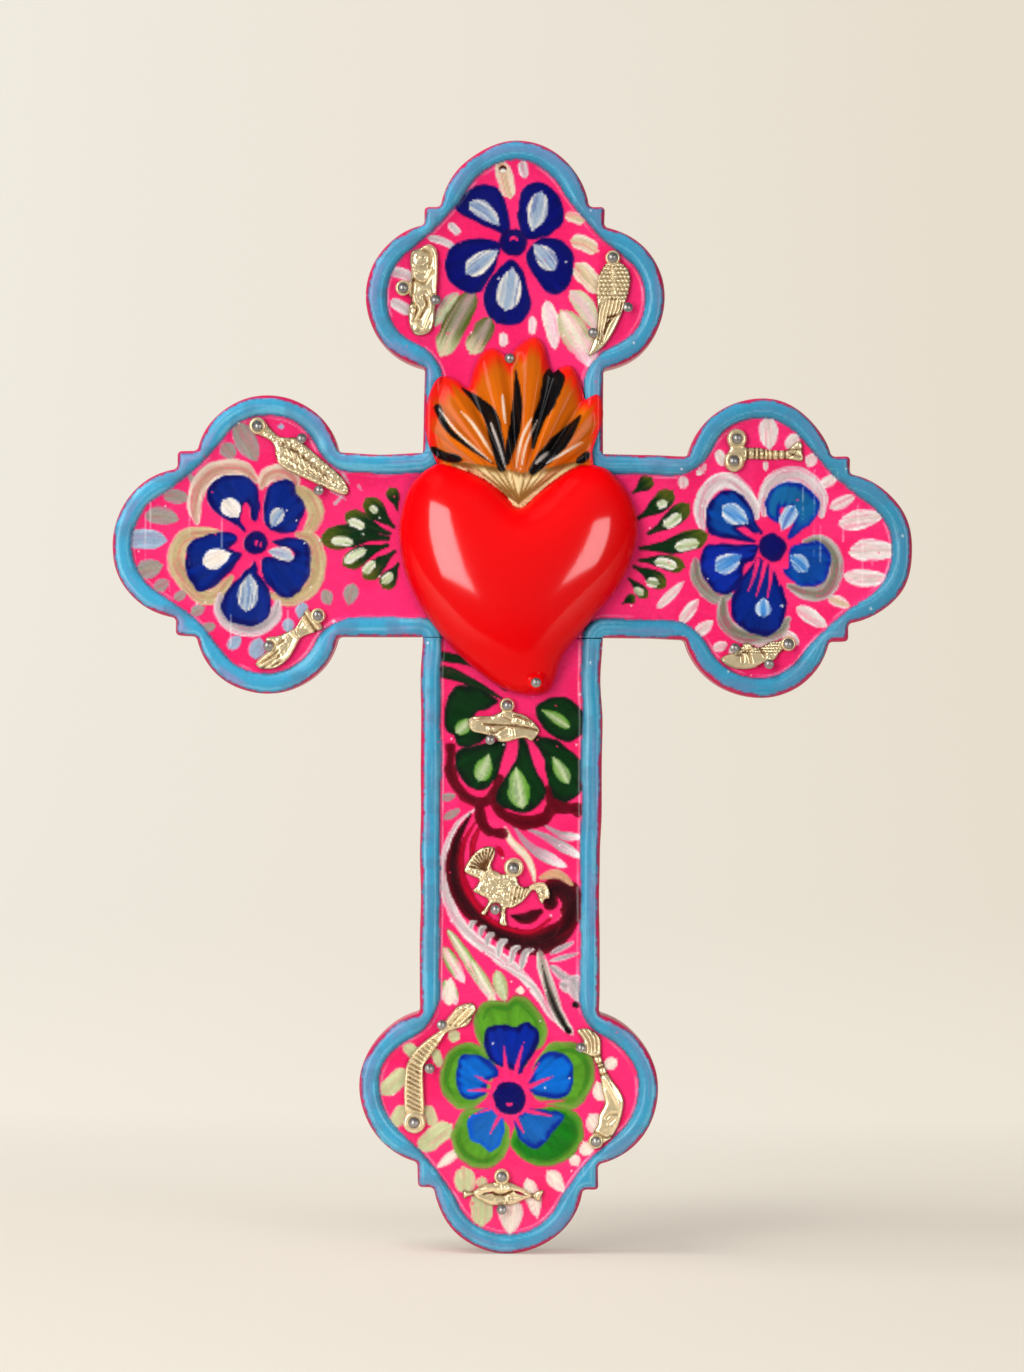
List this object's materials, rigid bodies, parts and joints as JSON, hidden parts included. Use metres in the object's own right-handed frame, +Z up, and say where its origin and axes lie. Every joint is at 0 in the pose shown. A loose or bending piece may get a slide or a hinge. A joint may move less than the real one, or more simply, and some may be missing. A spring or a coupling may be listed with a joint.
{
  "type": "decorative wall cross",
  "caption": "Painted wooden folk cross with lobed ends and a raised rim, an embossed tin heart with flames at the crossing, and small cast charms nailed on; hangs on a wall.",
  "frame": {"origin": "on the back of the boards, at the middle of the crossing", "axes": "+Z up along the upright, +X to the right seen from the front, +Y out of the back, towards the wall"},
  "size_m": [0.202, 0.024, 0.2802],
  "materials": {
    "painted_wood": "glossy paint over wood",
    "painted_tin": "glossy paint on thin sheet",
    "gold_cast": "worn bright casting",
    "nail_steel": "dull bright steel"
  },
  "bodies": {
    "root": {"bare_arm_charm": "gold_cast", "bare_arm_edge_nail_1": "nail_steel", "bare_arm_ring_nail_1": "nail_steel", "crossbar_board": "painted_wood", "hand_charm": "gold_cast", "hand_edge_nail_1": "nail_steel", "hand_ring_nail_1": "nail_steel", "heart_nail_1": "nail_steel", "heart_nail_2": "nail_steel", "heart_shell": "painted_tin", "key_charm": "gold_cast", "key_ring_nail_1": "nail_steel", "key_ring_nail_2": "nail_steel", "lips_charm": "gold_cast", "lips_edge_nail_1": "nail_steel", "lips_ring_nail_1": "nail_steel", "maize_charm": "gold_cast", "maize_edge_nail_1": "nail_steel", "maize_edge_nail_2": "nail_steel", "maize_ring_nail_1": "nail_steel", "oval_charm": "gold_cast", "oval_edge_nail_1": "nail_steel", "oval_ring_nail_1": "nail_steel", "praying_figure_charm": "gold_cast", "praying_figure_edge_nail_1": "nail_steel", "praying_figure_ring_nail_1": "nail_steel", "shoe_charm": "gold_cast", "shoe_edge_nail_1": "nail_steel", "shoe_edge_nail_2": "nail_steel", "shoe_ring_nail_1": "nail_steel", "sleeved_arm_charm": "gold_cast", "sleeved_arm_edge_nail_1": "nail_steel", "sleeved_arm_edge_nail_2": "nail_steel", "sleeved_arm_ring_nail_1": "nail_steel", "turkey_charm": "gold_cast", "turkey_edge_nail_1": "nail_steel", "turkey_ring_nail_1": "nail_steel", "upright_board": "painted_wood", "wing_charm": "gold_cast", "wing_edge_nail_1": "nail_steel", "wing_edge_nail_2": "nail_steel", "wing_ring_nail_1": "nail_steel"}
  },
  "joints": []
}
